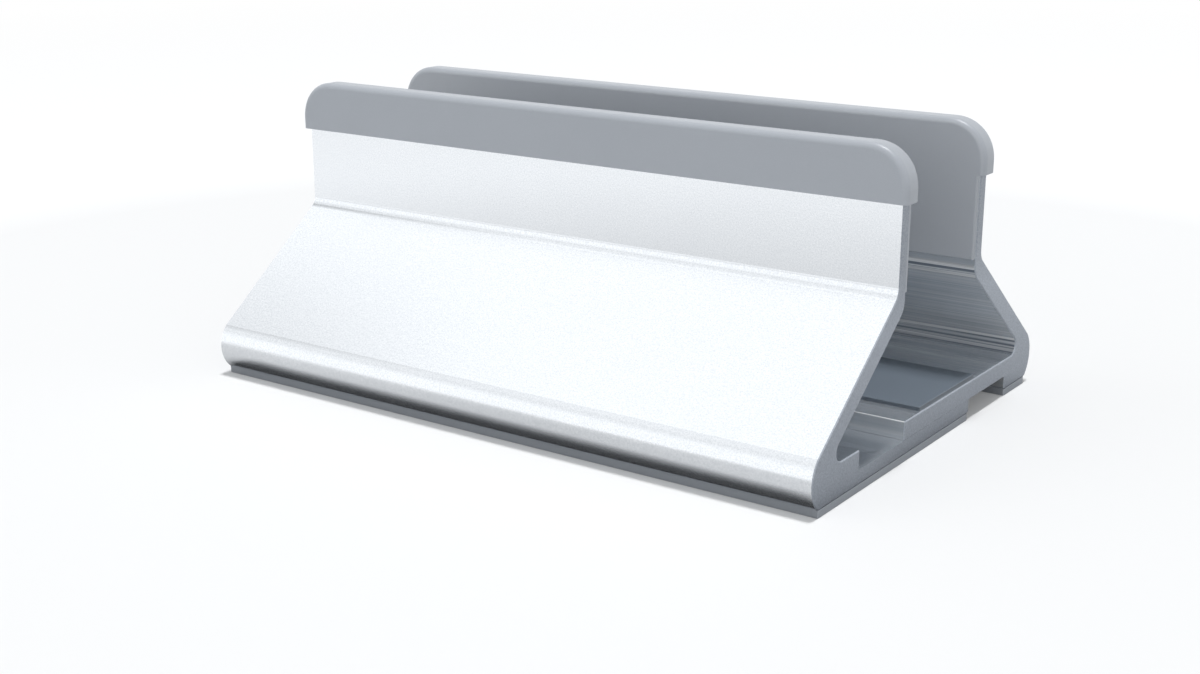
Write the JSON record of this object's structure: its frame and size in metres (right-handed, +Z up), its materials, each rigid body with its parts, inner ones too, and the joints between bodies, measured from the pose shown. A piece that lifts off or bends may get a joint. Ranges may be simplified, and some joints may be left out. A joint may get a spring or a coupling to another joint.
{
  "type": "vertical laptop stand",
  "caption": "Adjustable desk stand that holds a closed laptop on its edge between two padded aluminium walls; the rear half slides on the front half to set the width.",
  "frame": {"origin": "on the ground, below the middle of the stand's bounding box, which is the middle of the slot", "axes": "+X along the stand, +Y from the front half to the rear half, +Z up"},
  "size_m": [0.1846, 0.1228, 0.076],
  "materials": {
    "aluminium": "fine bead-blasted and clear anodised, sawn ends",
    "silicone": "matte grey silicone",
    "pad_silicone": "matte dark grey silicone",
    "steel": "plated screws and washers"
  },
  "bodies": {
    "front_half": {"front_bracket": "aluminium", "front_wall_sleeve": "silicone", "front_foot_pad": "silicone"},
    "rear_half": {"rear_bracket": "aluminium", "rear_wall_sleeve": "silicone", "base_pad": "pad_silicone", "rear_foot_pad": "silicone", "left_clamp_washer": "steel", "right_clamp_washer": "steel"},
    "left_screw": {"left_clamp_screw": "steel"},
    "right_screw": {"right_clamp_screw": "steel"}
  },
  "joints": [
    {"name": "width_slide", "type": "slide", "parent": "front_half", "child": "rear_half", "axis": [0, 1, 0], "range_m": [-0.0228, 0.003]},
    {"name": "left_screw_turn", "type": "hinge", "parent": "rear_half", "child": "left_screw", "pos_m": [-0.06085, 0.006, 0.004], "axis": [0, 0, -1], "range_deg": [0, 180]},
    {"name": "right_screw_turn", "type": "hinge", "parent": "rear_half", "child": "right_screw", "pos_m": [0.06085, 0.006, 0.004], "axis": [0, 0, -1], "range_deg": [0, 180]}
  ]
}
